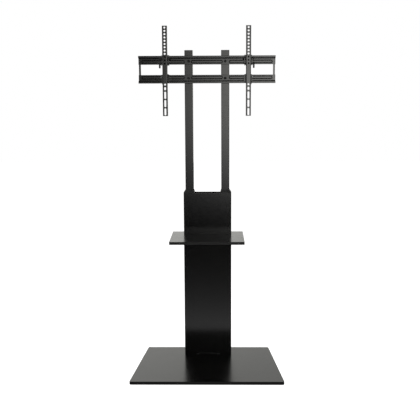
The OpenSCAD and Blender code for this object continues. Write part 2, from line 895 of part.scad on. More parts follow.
module hanger() {
    color(powder)
    translate([arm_x, 0, 0])
    difference() {
        union() {
            intersection() {
                along_x(-ear_outer, ear_outer)
                    polygon(rounded(hanger_section, hanger_radii));
                along_y(hanger_front_y - cut, hook_leg_y + hanger_t + cut)
                    polygon(hanger_outline);
            }
            for (x = [-ear_outer, ear_inner])
                along_x(x, x + hanger_t) {
                    polygon(rounded(upper_ear, [0, 0, ear_nose, ear_nose]));
                    polygon(rounded(lower_ear, [0, 0, ear_corner, ear_corner]));
                }
            for (x = [-waist_w / 2, waist_w / 2 - hanger_t])
                along_x(x, x + hanger_t)
                    polygon([[hanger_back_y, lower_head_top + head_taper],
                             [hanger_back_y, upper_head_foot - head_taper],
                             [hanger_front_y - ear_corner, upper_head_foot - 2 * head_taper],
                             [hanger_front_y - ear_corner, lower_head_top + 2 * head_taper]]);
        }
        bar_x(-ear_outer - cut, ear_outer + cut, pivot_y, pivot_z, m8_r + running_gap);
        bar_x(-ear_outer - cut, ear_outer + cut, pivot_y, clamp_z, clamp_r + running_gap);
        bar_x(ear_inner - cut, ear_outer + cut, latch_y, latch_z, m5_r + running_gap);
    }
}

// Arms

clamp_r = 3;
lug_back = 12;
lug_run = 26;
short_slot_len = 14.5;
short_slot_top_share = 0.676;
single_hole_share = 0.648;
slot_foot = 3.2;
top_margin = 9;

// Side plate of the arm near the pivot, as (Y, Z)
lug_outline = [
    [arm_front_y + arm_t, clamp_z - lug_run], [arm_back_y, clamp_z - lug_run],
    [pivot_y + lug_back, clamp_z - ear_nose], [pivot_y + lug_back, pivot_z + lug_back],
    [arm_back_y, pivot_z + lug_run], [arm_front_y + arm_t, pivot_z + lug_run]
];

module arm() {
    foot = arm_top - arm_len;
    y0 = arm_front_y - cut;
    y1 = arm_front_y + arm_t + cut;
    clamp_ends = [for (a = [1, -tilt_range - 1]) [clamp_drop * sin(a), -clamp_drop * cos(a)]];
    slot_r = clamp_r + slide_gap;
    color(powder)
    translate([arm_x, 0, 0])
    difference() {
        union() {
            translate([0, 0, foot])
                linear_extrude(arm_len)
                    difference() {
                        translate([0, arm_front_y + arm_depth])
                            polygon(rounded(
                                [[-arm_w / 2, -arm_depth], [arm_w / 2, -arm_depth],
                                 [arm_w / 2, 0], [-arm_w / 2, 0]],
                                [arm_t + bend_r, arm_t + bend_r, 0, 0]));
                        translate([0, arm_front_y + arm_depth])
                            polygon(rounded(
                                [[-arm_w / 2 + arm_t, arm_t - arm_depth],
                                 [arm_w / 2 - arm_t, arm_t - arm_depth],
                                 [arm_w / 2 - arm_t, cut], [arm_t - arm_w / 2, cut]],
                                [bend_r, bend_r, 0, 0]));
                    }
            for (x = [-arm_w / 2, arm_w / 2 - arm_t])
                along_x(x, x + arm_t)
                    polygon(rounded(lug_outline, [0, ear_corner, ear_nose, ear_nose, ear_corner, 0]));
        }
        for (i = [0 : hole_count - 1])
            bar_y(y0, y1, 0, arm_top - top_margin - i * hole_pitch, hole_r);
        bar_y(y0, y1, 0, arm_top - arm_len * single_hole_share, hole_r);
        slot_y(y0, y1, 0, arm_top - arm_len * short_slot_top_share - short_slot_len,
               arm_top - arm_len * short_slot_top_share, hole_r);
        for (i = [0 : 2])
            slot_y(y0, y1, 0, foot + slot_foot + i * slot_pitch,
                   foot + slot_foot + i * slot_pitch + slot_len, hole_r);
        bar_x(-arm_w, arm_w, pivot_y, pivot_z, m8_r + running_gap);
        for (p = clamp_ends)
            bar_x(-arm_w, arm_w, pivot_y + p[0], pivot_z + p[1], slot_r);
        translate([0, pivot_y, pivot_z])
            rotate([-tilt_range / 2, 0, 0])
                translate([-arm_w, -clamp_drop * sin(tilt_range / 2 + 1), -clamp_drop - slot_r])
                    cube([2 * arm_w, 2 * clamp_drop * sin(tilt_range / 2 + 1), 2 * slot_r]);
    }
}

module pivot_bolt() {
    color(blackened)
    translate([arm_x, 0, 0])
    difference() {
        union() {
            bar_x(-ear_outer - m8_head_t, -ear_outer, pivot_y, pivot_z, m8_head_r);
            bar_x(-ear_outer, ear_outer + m8_nut_t + arris, pivot_y, pivot_z, m8_r);
        }
        bar_x(-ear_outer - m8_head_t - cut, -ear_outer - m8_head_t + m8_socket_depth,
              pivot_y, pivot_z, m8_socket_r, 6);
    }
}

module pivot_nut() {
    color(blackened)
    translate([arm_x, 0, 0])
        nut_x(ear_outer, pivot_y, pivot_z, m8_nut_r, m8_nut_t, m8_r + running_gap);
}

bush_wall = 2.6;

module pivot_bushes() {
    bush_x = arm_w / 2 + seat_gap;
    color(plastic)
    translate([arm_x, 0, 0])
    for (x = [-ear_inner, bush_x])
        difference() {
            bar_x(x, x + ear_inner - bush_x, pivot_y, pivot_z, m8_r + bush_wall);
            bar_x(x - cut, x + ear_inner - bush_x + cut, pivot_y, pivot_z, m8_r + running_gap);
        }
}

// Tilt lever and its clamp bolt
lever_hub_r = 6.5;
lever_w = 10.5;
lever_leg = 23;
lever_leg_t = 8;
lever_tip_r = 3;

module clamp_bolt() {
    color(blackened)
    translate([arm_x, 0, 0])
    difference() {
        union() {
            bar_x(-ear_outer - m5_head_t, -ear_outer, pivot_y, clamp_z, m8_head_r);
            bar_x(-ear_outer, ear_outer + lever_w - arris, pivot_y, clamp_z, clamp_r);
        }
        bar_x(-ear_outer - m5_head_t - cut, -ear_outer - m5_head_t + m5_socket_depth,
              pivot_y, clamp_z, m8_socket_r, 6);
    }
}

module tilt_lever() {
    x0 = ear_outer + slide_gap;
    x1 = ear_outer + slide_gap + lever_w;
    leg_x = x1 - lever_leg_t;
    color(plastic)
    translate([arm_x, 0, 0])
    difference() {
        union() {
            bar_x(x0, x1, pivot_y, clamp_z, lever_hub_r);
            along_x(leg_x, x1)
                polygon(rounded(
                    [[pivot_y - lever_hub_r, clamp_z], [pivot_y - lever_tip_r, clamp_z - lever_leg],
                     [pivot_y + lever_tip_r, clamp_z - lever_leg], [pivot_y + lever_hub_r, clamp_z]],
                    [0, lever_tip_r - arris, lever_tip_r - arris, 0]));
        }
        bar_x(x0 - cut, x1 - arris / 2, pivot_y, clamp_z, clamp_r + running_gap);
    }
}

// The latch: its toe turns in under the lip of the lower rail and stops the
// hanger from lifting off
module latch() {
    toe_top = rail_foot - slide_gap;
    toe_foot = toe_top - latch_toe_t;
    toe_y = lip_back_y + bend_r;
    outline = [
        [latch_y - latch_r, latch_z], [latch_y - latch_r, toe_foot],
        [toe_y, toe_foot], [toe_y, toe_top], [latch_y + latch_r / 2, toe_top],
        [latch_y + latch_r, toe_top + 2 * latch_r], [latch_y + latch_r, latch_z]
    ];
    color(blackened)
    translate([arm_x, 0, 0])
    difference() {
        along_x(latch_x, latch_x + latch_t) {
            polygon(rounded(outline, [0, ear_corner, bend_r, bend_r, bend_r, latch_r, 0]));
            translate([latch_y, latch_z]) circle(r = latch_r);
        }
        bar_x(latch_x - cut, latch_x + latch_t + cut, latch_y, latch_z, m5_r + running_gap);
    }
}

module latch_screw() {
    color(zinc)
    translate([arm_x, 0, 0])
    difference() {
        union() {
            bar_x(ear_outer, ear_outer + m5_head_t, latch_y, latch_z, m5_head_r);
            bar_x(latch_x - arris / 2, ear_outer, latch_y, latch_z, m5_r);
        }
        bar_x(ear_outer + m5_head_t - m5_socket_depth, ear_outer + m5_head_t + cut,
              latch_y, latch_z, m5_socket_r, 6);
    }
}

module left_sleeve() { on_side(-1) sleeve(); }
module right_sleeve() { on_side(1) sleeve(); }
module left_collar() { on_side(-1) collar(); }
module right_collar() { on_side(1) collar(); }
module left_lock_knob() { on_side(-1) lock_knob(); }
module right_lock_knob() { on_side(1) lock_knob(); }
module left_shelf_bracket() { on_side(-1) shelf_bracket(); }
module right_shelf_bracket() { on_side(1) shelf_bracket(); }
module left_upright() { on_side(-1) upright(); }
module right_upright() { on_side(1) upright(); }
module left_end_strap() { on_side(-1) end_strap(); }
module right_end_strap() { on_side(1) end_strap(); }
module left_hanger() { on_side(-1) hanger(); }
module right_hanger() { on_side(1) hanger(); }
module left_arm() { on_side(-1) arm(); }
module right_arm() { on_side(1) arm(); }
module left_pivot_bolt() { on_side(-1) pivot_bolt(); }
module right_pivot_bolt() { on_side(1) pivot_bolt(); }
module left_pivot_nut() { on_side(-1) pivot_nut(); }
module right_pivot_nut() { on_side(1) pivot_nut(); }
module pivot_bushes_left() { on_side(-1) pivot_bushes(); }
module pivot_bushes_right() { on_side(1) pivot_bushes(); }
module left_clamp_bolt() { on_side(-1) clamp_bolt(); }
module right_clamp_bolt() { on_side(1) clamp_bolt(); }
module left_tilt_lever() { on_side(-1) tilt_lever(); }
module right_tilt_lever() { on_side(1) tilt_lever(); }
module left_latch() { on_side(-1) latch(); }
module right_latch() { on_side(1) latch(); }
module left_latch_screw() { on_side(-1) latch_screw(); }
module right_latch_screw() { on_side(1) latch_screw(); }

base_plate();
foot_pads();
foot_plate();
base_bolts();
base_nuts();
left_sleeve();
right_sleeve();
cross_straps();
column_cover();
rear_panel();
panel_screws();
left_collar();
right_collar();
shelf();
left_shelf_bracket();
right_shelf_bracket();
shelf_wood_screws();
shelf_bracket_screws();
lock_nuts();
left_lock_knob();
right_lock_knob();
left_upright();
right_upright();
upright_caps();
upper_rail();
lower_rail();
left_end_strap();
right_end_strap();
rail_bolts();
rail_washers();
rail_nuts();
left_hanger();
right_hanger();
left_arm();
right_arm();
left_pivot_bolt();
right_pivot_bolt();
left_pivot_nut();
right_pivot_nut();
pivot_bushes_left();
pivot_bushes_right();
left_clamp_bolt();
right_clamp_bolt();
left_tilt_lever();
right_tilt_lever();
left_latch();
right_latch();
left_latch_screw();
right_latch_screw();
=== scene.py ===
# %% [markdown]
# # A floor stand for a screen, finished around its CAD frame
#
# The stand is a trapezoid base board, a folded steel column with a shelf round it, two
# uprights that slide out of the column, and a pair of rails on which two screen arms
# hang. The CAD frame already has every part in its right place and size. This script
# gives each part its finish, adds the small formed details that a CAD frame leaves out,
# and sets up the studio in which the stand was photographed.
#
# Everything is in metres. X is to the right, Y goes away from the camera, Z is up, and
# the floor is at zero.

# %% Load the frame and keep its box
import json
import math

import bpy
import numpy as np
from mathutils import Matrix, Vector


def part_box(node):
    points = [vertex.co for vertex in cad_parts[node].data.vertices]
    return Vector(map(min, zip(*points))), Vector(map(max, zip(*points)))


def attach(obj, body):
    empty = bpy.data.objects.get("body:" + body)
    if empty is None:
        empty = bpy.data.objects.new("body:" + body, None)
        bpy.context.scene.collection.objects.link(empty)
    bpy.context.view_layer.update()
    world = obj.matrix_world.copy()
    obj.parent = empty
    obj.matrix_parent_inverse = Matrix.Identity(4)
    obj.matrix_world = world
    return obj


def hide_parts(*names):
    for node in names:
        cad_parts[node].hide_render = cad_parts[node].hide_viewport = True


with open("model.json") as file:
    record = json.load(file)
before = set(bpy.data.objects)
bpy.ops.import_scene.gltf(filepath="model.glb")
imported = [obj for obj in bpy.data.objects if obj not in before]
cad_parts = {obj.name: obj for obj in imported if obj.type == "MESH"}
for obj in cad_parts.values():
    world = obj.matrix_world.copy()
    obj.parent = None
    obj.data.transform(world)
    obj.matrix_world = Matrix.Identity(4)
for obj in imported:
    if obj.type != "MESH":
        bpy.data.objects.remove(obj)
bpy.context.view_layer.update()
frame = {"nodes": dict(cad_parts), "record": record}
scene = bpy.context.scene
scene.view_settings.view_transform = "Standard"
print("parts in the frame:", len(frame["nodes"]))

# %% [markdown]
# ## The camera
#
# The photograph was taken from about eye height of someone sitting on a high stool, a
# little to the right of the middle, looking slightly down. A pinhole camera was fitted
# to some forty straight edges of the photograph, and its place is written here against
# the frame: the distance is counted from the front face of the column.

# %% The camera's numbers
MM = 0.001
SENSOR_WIDTH = 36.0
FOCAL_PIXELS = 680.0
PICTURE_PIXELS = 420.0
CAMERA_RIGHT = 61.3 * MM
CAMERA_BACK = 3363.5 * MM
CAMERA_UP = 1243.5 * MM
CAMERA_PITCH = math.radians(8.17)
CAMERA_YAW = math.radians(0.83)
CAMERA_ROLL = math.radians(0.23)
NEAREST_SEEN, FARTHEST_SEEN = 0.05, 60.0

column_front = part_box("column_cover")[0][1]
camera_place = np.array([CAMERA_RIGHT, column_front - CAMERA_BACK, CAMERA_UP])
print("camera at:", camera_place.round(3))


# %% Place the camera
def camera_axes(pitch, yaw, roll):
    """Right, up and backward axes of a camera that looks along +Y, turned left by yaw,
    tipped down by pitch, and rolled about its own line of sight."""
    forward = np.array([
        -math.sin(yaw) * math.cos(pitch),
        math.cos(yaw) * math.cos(pitch),
        -math.sin(pitch),
    ])
    level = np.array([math.cos(yaw), math.sin(yaw), 0.0])
    above = np.cross(level, forward)
    right = math.cos(roll) * level - math.sin(roll) * above
    up = np.cross(right, forward)
    return right, up, -forward


def make_camera():
    """A camera whose matrix has the three axes and the place as its columns."""
    data = bpy.data.cameras.new("photo_camera")
    data.sensor_width = SENSOR_WIDTH
    data.lens = SENSOR_WIDTH * FOCAL_PIXELS / PICTURE_PIXELS
    data.clip_start = NEAREST_SEEN
    data.clip_end = FARTHEST_SEEN
    camera = bpy.data.objects.new("photo_camera", data)
    right, up, back = camera_axes(CAMERA_PITCH, CAMERA_YAW, CAMERA_ROLL)
    matrix = Matrix.Identity(4)
    for row in range(3):
        matrix[row][0] = right[row]
        matrix[row][1] = up[row]
        matrix[row][2] = back[row]
        matrix[row][3] = camera_place[row]
    camera.matrix_world = matrix
    scene.collection.objects.link(camera)
    scene.camera = camera
    return camera


photo_camera = make_camera()
print("lens in mm:", round(photo_camera.data.lens, 2))

# %% [markdown]
# ## The studio
#
# The photograph has a pure white background and only soft light. A white room could be
# made with a curved backdrop, but a world that is white to the camera is simpler and
# gives the same picture from every side. The light that falls evenly on a surface comes
# from three lamps and from a dim fill of the world.
#
# Glossy black paint has hardly any colour of its own, so most of its look is what it
# reflects, and the reflections get a world of their own. Behind the stand it is white,
# which gives the boards their strong pale sheen, and it falls off towards the dark room
# behind the camera. In that room hangs one large soft box, in front and a little to the
# right: it makes the right-hand arm and upright brighter than the left-hand ones, and
# all of them darker downwards. A glow from the right keeps that side of the stand from
# going black. Lamps could be shown in the reflections instead, but a brightness that is
# a smooth function of the direction leaves no speckle.


# %% A small helper for node trees
class Tree:
    """Short calls for building one node tree."""

    def __init__(self, owner):
        owner.use_nodes = True
        self.tree = owner.node_tree
        self.tree.nodes.clear()

    def add(self, kind, inputs=None, **settings):
        """Adds a node, sets its properties, and fills or links its inputs."""
        node = self.tree.nodes.new(kind)
        for key, value in settings.items():
            setattr(node, key, value)
        for key, value in (inputs or {}).items():
            self.feed(node.inputs[key], value)
        return node

    def feed(self, socket, value):
        """Links an output to the socket, or sets the socket's own value."""
        if isinstance(value, bpy.types.NodeSocket):
            self.tree.links.new(value, socket)
        else:
            socket.default_value = value

    def math(self, operation, first, second=0.0):
        """One sum, product or other operation on two values."""
        node = self.add("ShaderNodeMath", {0: first, 1: second}, operation=operation)
        return node.outputs[0]

    def spread(self, value, from_low, from_high, to_low, to_high, curve="LINEAR"):
        """A value mapped from one range to another, held at its ends."""
        node = self.add(
            "ShaderNodeMapRange",
            {"Value": value, "From Min": from_low, "From Max": from_high,
             "To Min": to_low, "To Max": to_high},
            clamp=True, interpolation_type=curve,
        )
        return node.outputs["Result"]

    def blend(self, share, first, second):
        """One colour that passes into another as share goes from 0 to 1."""
        node = self.add("ShaderNodeMix", data_type="RGBA")
        self.feed(node.inputs["Factor"], share)
        self.feed(node.inputs["A"], first)
        self.feed(node.inputs["B"], second)
        return node.outputs["Result"]


def grey(level):
    """A neutral colour of that linear level."""
    return (level, level, level, 1.0)


print("a middle grey:", grey(0.5))

# %% [markdown]
# ### The soft box
#
# A direction is a point on a sphere round the stand. Its azimuth is counted to the right
# of the front and its elevation upwards from the horizon, both in degrees below. Each
# pair gives where the brightness starts to change and where the change is complete.

# %% The soft box as reflections see it
SOFT_LEVEL = 5.7
SOFT_LEFT = (-6.1, 5.7)
SOFT_RIGHT = (9.0, 18.0)
SOFT_RISE = (-6.0, 0.8)
SOFT_FOOT = 0.35
SOFT_TOP = (2.5, 13.0)


def soft_across(t, along):
    """Brightness of the soft box from side to side, 0 to 1: a straight ramp on the left
    and a soft step on the right. The azimuth is atan2(x, -y)."""
    front = t.math("MULTIPLY", along.outputs["Y"], -1.0)
    azimuth = t.math("ARCTAN2", along.outputs["X"], front)
    left = [math.radians(v) for v in SOFT_LEFT]
    right = [math.radians(v) for v in SOFT_RIGHT]
    ramp = t.spread(azimuth, left[0], left[1], 0.0, 1.0)
    fall = t.spread(azimuth, right[0], right[1], 1.0, 0.0, "SMOOTHSTEP")
    return t.math("MULTIPLY", ramp, fall)


def soft_image(t, along):
    """How bright the soft box looks in a mirror: its level, times its brightness across,
    times a ramp at its foot and a soft step at its top. The elevation is asin(z)."""
    elevation = t.math("ARCSINE", along.outputs["Z"])
    foot = [math.radians(v) for v in SOFT_RISE]
    top = [math.radians(v) for v in SOFT_TOP]
    lift = t.spread(elevation, foot[0], foot[1], SOFT_FOOT, 1.0)
    crown = t.spread(elevation, top[0], top[1], 1.0, 0.0, "SMOOTHSTEP")
    share = t.math("MULTIPLY", soft_across(t, along), t.math("MULTIPLY", lift, crown))
    return t.math("MULTIPLY", share, SOFT_LEVEL)


print("soft box from", SOFT_LEFT[0], "to", SOFT_RIGHT[1], "degrees")

# %% [markdown]
# ### The world
#
# One background shader serves all rays, and its strength is picked by the kind of ray.
# A strength of 1 is white to the camera. The turns say over which part of a direction,
# from -1 to 1 along an axis, the brightness changes.

# %% The world
WHITE_LEVEL = 1.25
FILL_LEVEL = 0.25
ROOM_LEVEL = 0.03
ROOM_TURN = (-0.35, 1.30)
ROOM_SLANT = 1.4
SIDE_LEVEL = 0.9
SIDE_TURN = (0.40, 0.80)
WARM_WHITE = (1.0, 1.0, 0.96, 1.0)


def make_world():
    """White to the camera, a dim fill to even light. Reflections see the brighter of
    two ramps, plus the soft box: one ramp runs from the dark room to white along
    y - slant * x, the other brightens towards the right. All of it is a little warm,
    as the photograph's reflections are."""
    world = bpy.data.worlds.new("studio_world")
    world.cycles.sampling_method = "NONE"
    scene.world = world
    t = Tree(world)
    ray = t.add("ShaderNodeLightPath")
    place = t.add("ShaderNodeTexCoord")
    along = t.add("ShaderNodeSeparateXYZ", {0: place.outputs["Generated"]})
    slant = t.math("MULTIPLY", along.outputs["X"], ROOM_SLANT)
    backward = t.math("SUBTRACT", along.outputs["Y"], slant)
    behind = t.spread(backward, ROOM_TURN[0], ROOM_TURN[1], ROOM_LEVEL, WHITE_LEVEL)
    beside = t.spread(along.outputs["X"], SIDE_TURN[0], SIDE_TURN[1], 0.0, SIDE_LEVEL)
    behind = t.math("MAXIMUM", behind, beside)
    behind = t.math("ADD", behind, soft_image(t, along))
    mirror = t.math("MAXIMUM", ray.outputs["Is Glossy Ray"],
                    ray.outputs["Is Transmission Ray"])
    seen = t.spread(mirror, 0.0, 1.0, FILL_LEVEL, behind)
    level = t.spread(ray.outputs["Is Camera Ray"], 0.0, 1.0, seen, 1.0)
    tint = t.blend(ray.outputs["Is Camera Ray"], WARM_WHITE, grey(1.0))
    shade = t.add("ShaderNodeBackground", {"Color": tint, "Strength": level})
    t.add("ShaderNodeOutputWorld", {"Surface": shade.outputs[0]})
    return world


make_world()
print("fill level of the world:", FILL_LEVEL)

# %% [markdown]
# ### The floor
#
# The floor is a large plain sheet that is nearly white by itself: most of what the
# camera gets from it is a steady glow, and the rest is lit by the lamps, so a faint
# contact shadow under the base stays. The column looks down on the floor in its
# reflections, and the photograph shows two bright places in them: a pool of light close
# round the stand, and the sheen of the soft box on the floor far in front.

# %% The floor
FLOOR_REACH = 14.0
FLOOR_GLOW = 0.86
FLOOR_TONES = (0.80, 0.84)
MOTTLE_SCALE = 3.0
POOL_LEVEL = 1.15
POOL_REACH = 0.75
SHEEN_LEVEL = 2.1
SHEEN_REACH = (5.0, 9.6)


def make_floor():
    """One square sheet at height zero. The camera sees its paint plus a steady glow.
    Reflections see a pool of light, level * exp(-r / reach) at the distance r from the
    stand, plus a sheen that rises with r and is as bright across as the soft box."""
    corner = np.array([[-1, -1], [1, -1], [1, 1], [-1, 1]]) * FLOOR_REACH
    points = np.column_stack([corner, np.zeros(len(corner))])
    mesh = bpy.data.meshes.new("studio_floor")
    mesh.from_pydata(points.tolist(), [], [(0, 1, 2, 3)])
    floor = bpy.data.objects.new("studio_floor", mesh)
    scene.collection.objects.link(floor)
    paint = bpy.data.materials.new("floor_white")
    paint.cycles.emission_sampling = "NONE"
    t = Tree(paint)
    ray = t.add("ShaderNodeLightPath")
    place = t.add("ShaderNodeTexCoord").outputs["Object"]
    mottle = t.add("ShaderNodeTexNoise", {"Vector": place, "Scale": MOTTLE_SCALE})
    tone = t.blend(mottle.outputs["Fac"], grey(FLOOR_TONES[0]), grey(FLOOR_TONES[1]))
    lit = t.add("ShaderNodeBsdfDiffuse", {"Color": tone})
    far = t.add("ShaderNodeVectorMath", {0: place}, operation="LENGTH")
    fade = t.math("POWER", math.exp(-1.0 / POOL_REACH), far.outputs["Value"])
    pool = t.math("MULTIPLY", fade, POOL_LEVEL)
    across = soft_across(t, t.add("ShaderNodeSeparateXYZ", {0: place}))
    sheen = t.spread(far.outputs["Value"], SHEEN_REACH[0], SHEEN_REACH[1], 0.0,
                     SHEEN_LEVEL, "SMOOTHSTEP")
    pool = t.math("ADD", pool, t.math("MULTIPLY", sheen, across))
    steady = t.math("MULTIPLY", ray.outputs["Is Camera Ray"], FLOOR_GLOW)
    glow = t.add("ShaderNodeEmission", {"Color": grey(1.0), "Strength": steady})
    both = t.add("ShaderNodeAddShader", {0: lit.outputs[0], 1: glow.outputs[0]})
    mirrored = t.add("ShaderNodeEmission", {"Color": grey(1.0), "Strength": pool})
    chosen = t.add("ShaderNodeMixShader", {
        0: ray.outputs["Is Glossy Ray"], 1: both.outputs[0], 2: mirrored.outputs[0]})
    t.add("ShaderNodeOutputMaterial", {"Surface": chosen.outputs[0]})
    mesh.materials.append(paint)
    return floor


studio_floor = make_floor()
print("floor reach in m:", FLOOR_REACH)

# %% [markdown]
# ### The lamps
#
# Three area lamps, in front on the right, on the left and above, light every surface
# evenly and make the contact shadow on the floor. Their power is set so that a grey
# card at the stand renders about as bright as it is written. Reflections don't show
# them, because the world's soft box takes their place there.

# %% The lamps
AIM = np.array([0.0, 0.1, 1.0])

# Azimuth, elevation (degrees), distance, width, height (metres) and power (watts).
LAMPS = {
    "box_right": (12, 12, 4.6, 2.6, 1.6, 45),
    "box_left": (-55, 25, 4.4, 2.0, 2.0, 20),
    "box_top": (10, 62, 3.6, 2.6, 2.6, 90),
}


def area_lamp(name, azimuth, elevation, distance, width, height, watts):
    """An area lamp at that azimuth (degrees to the right of the front) and elevation,
    turned to the aim point."""
    a, e = math.radians(azimuth), math.radians(elevation)
    away = np.array([math.sin(a) * math.cos(e), -math.cos(a) * math.cos(e),
                     math.sin(e)])
    level = np.array([math.cos(a), math.sin(a), 0.0])
    data = bpy.data.lights.new(name, "AREA")
    data.shape = "RECTANGLE"
    data.size, data.size_y = width, height
    data.energy = watts
    lamp = bpy.data.objects.new(name, data)
    matrix = Matrix.Identity(4)
    columns = (level, np.cross(away, level), away, AIM + away * distance)
    for column, axis in enumerate(columns):
        for row in range(3):
            matrix[row][column] = axis[row]
    lamp.matrix_world = matrix
    lamp.visible_camera = False
    lamp.visible_glossy = False
    scene.collection.objects.link(lamp)
    return lamp


for name, numbers in LAMPS.items():
    area_lamp(name, *numbers)
print("lamps:", list(LAMPS))

# %% [markdown]
# ## The finishes
#
# All patterns are read in Object coordinates, which are metres here, so a noise of scale
# 1000 has grains of about a millimetre. Each finish is a function that returns one
# material, and each material slot of the record gets its own. The photograph's blacks
# are deep, so the colours are close to zero, and the finish lies in how smooth the paint
# is and in its fine relief.


# %% Shared pieces of a finish
def start_finish(name):
    """A new material with its tree and Object coordinates."""
    paint = bpy.data.materials.new(name)
    t = Tree(paint)
    place = t.add("ShaderNodeTexCoord").outputs["Object"]
    return paint, t, place


def noise(t, place, scale, detail=2.0, rough=0.5):
    """Soft noise from 0 to 1 with grains of about 1/scale metres."""
    node = t.add("ShaderNodeTexNoise", {
        "Vector": place, "Scale": scale, "Detail": detail, "Roughness": rough})
    return node.outputs["Fac"]


def close_finish(t, colour, roughness, normal, **fixed):
    """The shader and the output. fixed are values set on the shader's own sockets."""
    sockets = {"Base Color": colour, "Roughness": roughness, "Normal": normal}
    sockets.update(fixed)
    shader = t.add("ShaderNodeBsdfPrincipled", sockets)
    t.add("ShaderNodeOutputMaterial", {"Surface": shader.outputs[0]})


def bump(t, height, depth, normal=None):
    """The normal bent by a height field of that depth in metres."""
    node = t.add("ShaderNodeBump", {
        "Height": height, "Distance": depth, "Strength": 1.0})
    if normal is not None:
        t.feed(node.inputs["Normal"], normal)
    return node.outputs["Normal"]


print("grains of a noise of scale 1000 in mm:", 1.0 / 1000.0 / MM)

# %% [markdown]
# ### Powder coat
#
# The steel parts are powder coated: powder is blown on dry and melts into a skin with a
# fine orange peel. A pressed bead on the rails has no sharp edge under that skin, and a
# Bevel node rounds the folds in the shading, which draws the dark lines along the beads
# that the photograph shows.

# %% Powder coat
DRIFT_SCALE = 9.0
PATCH_SCALE = 60.0
PEEL_SCALE = 450.0
GRAIN_SCALE = 1900.0
GRAIN_SHARE = 0.45
FOLD_SAMPLES = 8


def powder_coat(name, tones, roughness_range, grain_depth, gloss=0.5, bend=0.0):
    """Black powder coat. The colour drifts between two tones over about a decimetre, the
    roughness within its range over one or two centimetres, and the surface has the
    orange peel of melted powder: soft hills of 2 mm with finer grains on them. gloss is
    how strong the mirror of the skin is, and bend the radius of rounded folds."""
    paint, t, place = start_finish(name)
    drift = t.spread(noise(t, place, DRIFT_SCALE, 3.0), 0.3, 0.7, 0.0, 1.0)
    colour = t.blend(drift, grey(tones[0]), grey(tones[1]))
    patch = noise(t, place, PATCH_SCALE, 4.0)
    roughness = t.spread(patch, 0.25, 0.75, roughness_range[0], roughness_range[1])
    peel = noise(t, place, PEEL_SCALE, 2.0)
    grains = noise(t, place, GRAIN_SCALE, 1.0)
    skin = t.math("ADD", peel, t.math("MULTIPLY", grains, GRAIN_SHARE))
    fold = None
    if bend:
        node = t.add("ShaderNodeBevel", {"Radius": bend}, samples=FOLD_SAMPLES)
        fold = node.outputs["Normal"]
    close_finish(t, colour, roughness, bump(t, skin, grain_depth, fold),
                 **{"Specular IOR Level": gloss})
    return paint


print("hills of the orange peel in mm:", round(1.0 / PEEL_SCALE / MM, 1))

# %% [markdown]
# ### Board lacquer
#
# The base and the shelf are board with black satin lacquer. The faces are sprayed wet
# and lie smooth, while the cut edges soak the lacquer up and stay rougher and a little
# greyer. Edges could be a material of their own, but one material that looks at the
# surface's direction needs no second slot.

# %% Board lacquer
BOARD_DRIFT_SCALE = 5.0
BOARD_CLOUD_SCALE = 14.0
RIPPLE_SCALE = 160.0
NIB_SCALE = 1100.0
NIB_SHARE = 0.12
LACQUER_RELIEF = 0.04 * MM
FACE_TONES = (0.0014, 0.0024)
FACE_ROUGH = (0.20, 0.24)
FACE_GLOSS = 0.50
EDGE_TONE = 0.003
EDGE_ROUGH = 0.34
EDGE_TURN = (0.55, 0.95)


def board_lacquer(name, edge_gloss=FACE_GLOSS):
    """Black satin lacquer. A face looks up or down and an edge to the side, so the
    share of the edge's finish falls from 1 to 0 as |z| of the normal rises. edge_gloss
    is how strong the mirror of the lacquer is on the edges."""
    paint, t, place = start_finish(name)
    facing = t.add("ShaderNodeNewGeometry").outputs["Normal"]
    up = t.add("ShaderNodeSeparateXYZ", {0: facing}).outputs["Z"]
    edge = t.spread(t.math("ABSOLUTE", up), EDGE_TURN[0], EDGE_TURN[1], 1.0, 0.0)
    drift = noise(t, place, BOARD_DRIFT_SCALE, 3.0)
    face_tone = t.blend(drift, grey(FACE_TONES[0]), grey(FACE_TONES[1]))
    colour = t.blend(edge, face_tone, grey(EDGE_TONE))
    cloud = noise(t, place, BOARD_CLOUD_SCALE, 4.0)
    face_rough = t.spread(cloud, 0.3, 0.7, FACE_ROUGH[0], FACE_ROUGH[1])
    roughness = t.spread(edge, 0.0, 1.0, face_rough, EDGE_ROUGH)
    gloss = FACE_GLOSS
    if edge_gloss != FACE_GLOSS:
        gloss = t.spread(edge, 0.0, 1.0, FACE_GLOSS, edge_gloss)
    ripple = noise(t, place, RIPPLE_SCALE, 2.0)
    nibs = noise(t, place, NIB_SCALE, 1.0)
    skin = t.math("ADD", ripple, t.math("MULTIPLY", nibs, NIB_SHARE))
    close_finish(t, colour, roughness, bump(t, skin, LACQUER_RELIEF),
                 **{"Specular IOR Level": gloss})
    return paint


print("ripples of the lacquer in mm:", round(1.0 / RIPPLE_SCALE / MM, 1))

# %% [markdown]
# ### Plastic, rubber and fasteners
#
# Caps, knobs and collars are moulded in a tool with a fine spark-eroded grain. The foot
# pads are rubber with a little dust. The screws are either blackened in a bath, which
# wears paler on the high spots, or plated with bright zinc, which comes out cloudy.

# %% Moulded plastic, rubber and fastener finishes
CELL_SCALE = 1500.0
PLASTIC_DRIFT_SCALE = 30.0
BLOOM_SCALE = 220.0
WEAR_SCALE = 320.0
ZINC_CLOUD_SCALE = 500.0
PLASTIC_RELIEF = 0.06 * MM
RUBBER_RELIEF = 0.12 * MM
OXIDE_RELIEF = 0.04 * MM
ZINC_RELIEF = 0.03 * MM
COOL_ZINC = (0.50, 0.53, 0.57, 1.0)
PALE_ZINC = (0.72, 0.73, 0.72, 1.0)


